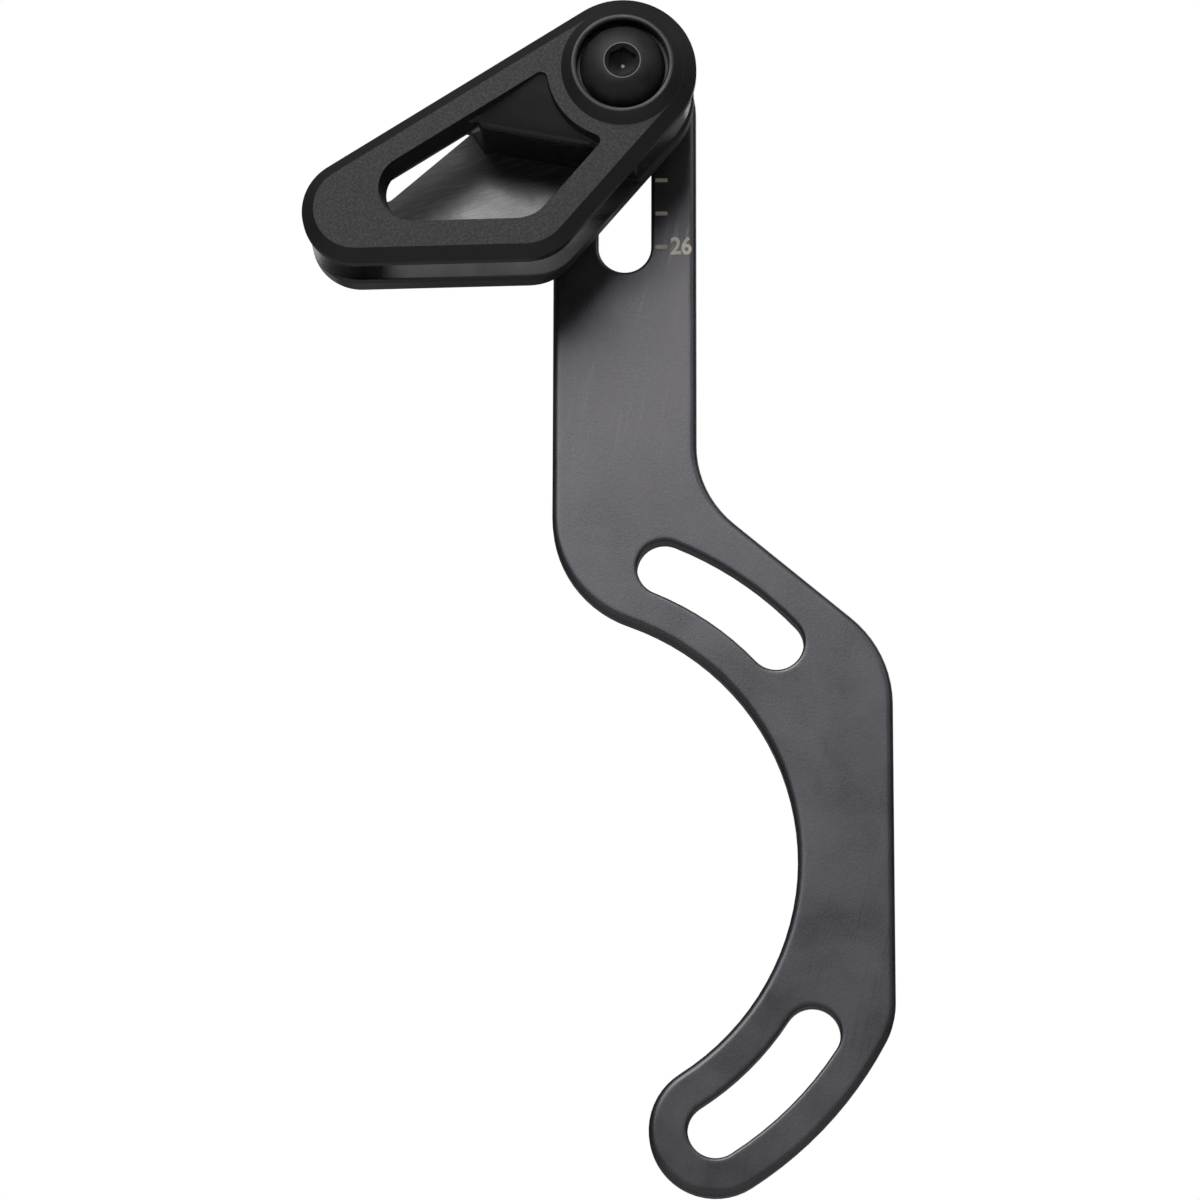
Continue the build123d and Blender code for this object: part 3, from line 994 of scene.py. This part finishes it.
    def build_number(self, mark: Mark) -> bpy.types.Object:
        """Make a mark's number from plain lettering, fitted to the size of the etched figures.

        Args:
            mark: Mark that carries the number.

        Returns:
            The number as a thin piece.
        """
        letters = bpy.data.curves.new(f"letters_{mark.value}", "FONT")
        letters.body = str(mark.value)
        letters.extrude = self.letter_depth
        letters.offset = self.letter_weight
        writer = bpy.data.objects.new(letters.name, letters)
        bpy.context.scene.collection.objects.link(writer)
        bpy.context.view_layer.update()
        data = bpy.data.meshes.new_from_object(writer.evaluated_get(bpy.context.evaluated_depsgraph_get()))
        bpy.data.objects.remove(writer)
        mesh = bmesh.new()
        mesh.from_mesh(data)
        bpy.data.meshes.remove(data)
        low = Vector(min(vert.co[axis] for vert in mesh.verts) for axis in range(3))
        high = Vector(max(vert.co[axis] for vert in mesh.verts) for axis in range(3))
        span = high - low
        bmesh.ops.remove_doubles(mesh, verts=mesh.verts, dist=self.letter_merge)
        width, height = self.number_size
        fit = Matrix.Diagonal((width / span.x, height / span.y, 2 * self.proud / span.z, 1.0))
        foot = self.mark_height(mark) + self.number_rise - height / 2
        spot = Vector((self.number_left, self.front_y, foot))
        stand = Matrix.Translation(spot) @ Matrix.Rotation(radians(90), 4, "X") @ fit
        centre = Matrix.Translation((-low.x, -low.y, -(low.z + high.z) / 2))
        bmesh.ops.transform(mesh, matrix=stand @ centre, verts=mesh.verts)
        name = f"scale_number_{mark.value}"
        return finish_piece(mesh, name, Body.BRACKET, self.etched_crease)

    def build(self, effects: Effects) -> None:
        """Dress the bracket and etch its scale.

        Args:
            effects: Shared surface effects.
        """
        metal = AnodisedFinish().make(effects)
        paint(solid("bracket_plate"), metal)
        plate = merged_copy("bracket_plate")
        self.round_edges(plate)
        paint(finish_skin(plate, "bracket_plate", Body.BRACKET), metal)
        paint(self.build_ticks(), self.tick_finish.make(effects))
        etched = self.number_finish.make(effects)
        for mark in Mark:
            if mark.numbered:
                paint(self.build_number(mark), etched)


@dataclass
class Cage:
    """Two moulded halves that keep the chain in line."""

    lip_round: float = 0.8 * MM
    lip_segments: int = 5
    lip_turn: float = 60.0
    floor_facing: Spot = (-0.03, -0.99, -0.15)
    floor_slack: float = 0.05
    roof_lean: float = 0.1
    roof_down: float = -0.3

    def soften_lip(self, mesh: bmesh.types.BMesh) -> None:
        """Round the edge where the recess's floor turns under into the channel's roof.

        Args:
            mesh: Skin of the outer half.
        """
        lip = []
        for edge in mesh.edges:
            if not edge.is_manifold or edge.calc_face_angle() < radians(self.lip_turn):
                continue
            floor, roof = sorted((face.normal for face in edge.link_faces), key=lambda normal: normal.y)
            on_floor = (floor - Vector(self.floor_facing)).length < self.floor_slack
            if on_floor and abs(roof.y) < self.roof_lean and roof.z < self.roof_down:
                lip.append(edge)
        round_over(mesh, lip, self.lip_round, self.lip_segments)
        log.info("lip: %d edges rounded", len(lip))

    def build(self, effects: Effects) -> None:
        """Dress both halves.

        Args:
            effects: Shared surface effects.
        """
        outer, inner = CagePlasticFinish().make(effects), ChannelPlasticFinish().make(effects)
        for node, plastic in (("outer_cage", outer), ("inner_cage_plate", inner)):
            paint(solid(node), plastic)
            half = merged_copy(node)
            if node == "outer_cage":
                self.soften_lip(half)
            paint(finish_skin(half, node, Body.CAGE), plastic)


@dataclass
class Clamp:
    """Screw with a rolled thread, nut and spacer rings."""

    axis_x: float = 9.3 * MM
    axis_z: float = 88.16 * MM
    seat_y: float = -19.8 * MM
    tip_y: float = 5.2 * MM
    crest_r: float = 2.5 * MM
    root_r: float = 2.02 * MM
    pitch: float = 0.8 * MM
    flank: float = 0.38
    land: float = 0.12
    plain_length: float = 4.0 * MM
    tip_chamfer: float = 0.6 * MM
    steps: int = 48
    crease: float = 28.0

    @property
    def centre(self) -> Vector:
        """Point on the screw's axis, in the plane of the bracket's back."""
        return Vector((self.axis_x, 0.0, self.axis_z))

    @property
    def neck_y(self) -> float:
        """Place on Y where the plain shank ends and the thread begins."""
        return self.seat_y + self.plain_length

    def build_thread(self) -> bmesh.types.BMesh:
        """Sweep one turn's profile along the screw's axis as a helix, and cut it off flat at both ends.

        Returns:
            The threaded shank.
        """
        mesh = bmesh.new()
        turns = int((self.tip_y - self.neck_y) / self.pitch) + 2
        profile = (
            (0.0, self.root_r),
            (self.flank, self.crest_r),
            (self.flank + self.land, self.crest_r),
            (2 * self.flank + self.land, self.root_r),
            (1.0, self.root_r),
        )
        start = self.neck_y - self.pitch
        spots = [Vector((self.axis_x + r, start + at * self.pitch, self.axis_z)) for at, r in profile]
        verts = [mesh.verts.new(spot) for spot in spots]
        edges = [mesh.edges.new(pair) for pair in zip(verts, verts[1:])]
        bmesh.ops.spin(
            mesh,
            geom=verts + edges,
            cent=self.centre,
            axis=(0.0, 1.0, 0.0),
            dvec=(0.0, self.pitch / self.steps, 0.0),
            angle=2 * pi * turns,
            steps=self.steps * turns,
            use_merge=False,
            use_duplicate=False,
        )
        bmesh.ops.remove_doubles(mesh, verts=mesh.verts, dist=MERGE)
        for level, facing in ((self.neck_y, -1.0), (self.tip_y, 1.0)):
            bmesh.ops.contextual_create(mesh, geom=cut_across(mesh, level, facing))
        self.round_tip(mesh)
        bmesh.ops.recalc_face_normals(mesh, faces=mesh.faces)
        return mesh

    def round_tip(self, mesh: bmesh.types.BMesh) -> None:
        """Turn the thread down to the tip's chamfer.

        Args:
            mesh: Threaded shank.
        """
        for vert in mesh.verts:
            limit = self.crest_r - max(0.0, vert.co.y - self.tip_y + self.tip_chamfer)
            dx, dz = vert.co.x - self.axis_x, vert.co.z - self.axis_z
            reach = hypot(dx, dz)
            if reach > limit:
                vert.co.x = self.axis_x + dx * limit / reach
                vert.co.z = self.axis_z + dz * limit / reach

    def build_screw(self) -> bpy.types.Object:
        """Make the screw: the solid's own head and socket, and a shank with a thread.

        Returns:
            The piece that stands for the plain solid.
        """
        screw = merged_copy("clamp_screw")
        bmesh.ops.contextual_create(screw, geom=cut_across(screw, self.neck_y, 1.0))
        thread = self.build_thread()
        joined = bpy.data.meshes.new("thread")
        thread.to_mesh(joined)
        thread.free()
        screw.from_mesh(joined)
        bpy.data.meshes.remove(joined)
        piece = finish_piece(screw, "button_screw", Body.CLAMP, self.crease)
        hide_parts("clamp_screw")
        return piece

    def build(self, effects: Effects) -> None:
        """Make the screw and dress the nut and the spacers.

        Args:
            effects: Shared surface effects.
        """
        steel = BlackSteelFinish().make(effects, tuple(self.centre))
        paint(self.build_screw(), steel)
        paint(solid("clamp_nut"), steel)
        paint(solid("clamp_screw"), steel)
        turned = TurnedSpacerFinish().make(effects, tuple(self.centre))
        for ring in ("chainline_spacer_thick", "chainline_spacer_thin"):
            paint(solid(ring), turned)


# Studio


@dataclass(frozen=True)
class Panel:
    """One rectangular soft light."""

    name: str
    place: Spot
    aim: Spot
    size: tuple[float, float]
    radiance: float

    def hang(self) -> None:
        """Put the light up, aimed and at its brightness."""
        lamp = bpy.data.lights.new(self.name, "AREA")
        lamp.shape = "RECTANGLE"
        lamp.size, lamp.size_y = self.size
        lamp.energy = self.radiance * pi * self.size[0] * self.size[1]
        holder = bpy.data.objects.new(self.name, lamp)
        holder.location = self.place
        holder.rotation_euler = (Vector(self.aim) - Vector(self.place)).to_track_quat("-Z", "Y").to_euler()
        bpy.context.scene.collection.objects.link(holder)


@dataclass
class Studio:
    """Camera at the photograph's place, soft panels, pale floor and white surroundings."""

    target: Spot = (6.46 * MM, 0.0, 30.6 * MM)
    distance: float = 600 * MM
    pitch: float = 12.8
    yaw: float = -1.3
    roll: float = 0.16
    lens_mm: float = 156.6
    sensor_mm: float = 36.0
    nearest: float = 50 * MM
    floor_z: float = -190 * MM
    floor_reach: float = 3.0
    floor_colour: Colour = (0.48, 0.48, 0.48)
    floor_roughness: float = 0.9
    dim: Colour = (0.08, 0.08, 0.082)
    white: Colour = (1.0, 1.0, 1.0)
    wall_edge: Band = (0.92, 0.98)
    wall_level: float = 0.25
    panels: tuple[Panel, ...] = (
        Panel("key_panel", (-0.14, -0.51, 0.463), (0.006, 0.0, 0.08), (0.44, 0.52), 5.6),
        Panel("side_panel", (0.45, -0.406, 0.41), (0.006, 0.0, 0.06), (0.40, 0.40), 1.2),
        Panel("back_panel", (0.45, 0.75, 0.55), (0.006, 0.0, 0.03), (0.60, 0.60), 1.5),
    )

    def set_camera(self) -> None:
        """Stand the camera below the guide, looking up at it as the photograph does."""
        pitch, yaw, roll = radians(self.pitch), radians(self.yaw), radians(self.roll)
        ahead = Vector((sin(yaw) * cos(pitch), cos(yaw) * cos(pitch), sin(pitch)))
        right = Vector((cos(yaw), -sin(yaw), 0.0))
        up = right.cross(ahead)
        right, up = cos(roll) * right + sin(roll) * up, cos(roll) * up - sin(roll) * right
        camera = bpy.data.cameras.new("camera")
        camera.lens = self.lens_mm
        camera.sensor_width = self.sensor_mm
        camera.clip_start = self.nearest
        holder = bpy.data.objects.new("camera", camera)
        turn = Matrix((right, up, -ahead)).transposed().to_4x4()
        holder.matrix_world = Matrix.Translation(Vector(self.target) - self.distance * ahead) @ turn
        bpy.context.scene.collection.objects.link(holder)
        bpy.context.scene.camera = holder

    def set_world(self) -> None:
        """White for the camera and behind the guide, dim elsewhere, as in a studio with one bright wall."""
        world = bpy.data.worlds.new("studio")
        world.use_nodes = True
        world.node_tree.nodes.clear()
        sheet = NodeSheet(world.node_tree)
        path = sheet.place("ShaderNodeLightPath").outputs
        place = sheet.place("ShaderNodeTexCoord").outputs["Generated"]
        toward = sheet.place("ShaderNodeSeparateXYZ", {0: place}).outputs
        wall = sheet.remap(toward["Y"], *self.wall_edge, 0.0, self.wall_level)
        mirror = sheet.calc("MAXIMUM", path["Is Glossy Ray"], path["Is Transmission Ray"])
        seen = sheet.calc("MAXIMUM", path["Is Camera Ray"], sheet.product(mirror, wall))
        colour = sheet.blend(seen, self.dim, self.white)
        light = sheet.place("ShaderNodeBackground", {"Color": colour, "Strength": 1.0})
        sheet.place("ShaderNodeOutputWorld", {"Surface": light.outputs[0]})
        bpy.context.scene.world = world

    def lay_floor(self) -> None:
        """Lay a pale floor below the camera."""
        mesh = bmesh.new()
        level = Matrix.Translation((0.0, 0.0, self.floor_z))
        bmesh.ops.create_grid(mesh, x_segments=4, y_segments=4, size=self.floor_reach, matrix=level)
        data = bpy.data.meshes.new("floor")
        mesh.to_mesh(data)
        mesh.free()
        floor = bpy.data.objects.new("floor", data)
        bpy.context.scene.collection.objects.link(floor)
        dress = Dressing("floor")
        dress.set(Base_Color=(*self.floor_colour, 1.0), Roughness=self.floor_roughness)
        paint(floor, dress.material)

    def build(self) -> None:
        """Set up the whole studio."""
        self.set_camera()
        self.set_world()
        self.lay_floor()
        for panel in self.panels:
            panel.hang()
        bpy.context.scene.view_settings.view_transform = "Standard"


def main() -> None:
    """Build the guide's pieces and the studio."""
    logging.basicConfig(level=logging.INFO, format="%(name)s: %(message)s")
    effects = Effects()
    Studio().build()
    for assembly in (Bracket(), Cage(), Clamp()):
        assembly.build(effects)
    bpy.context.view_layer.update()


if __name__ == "__main__":
    main()
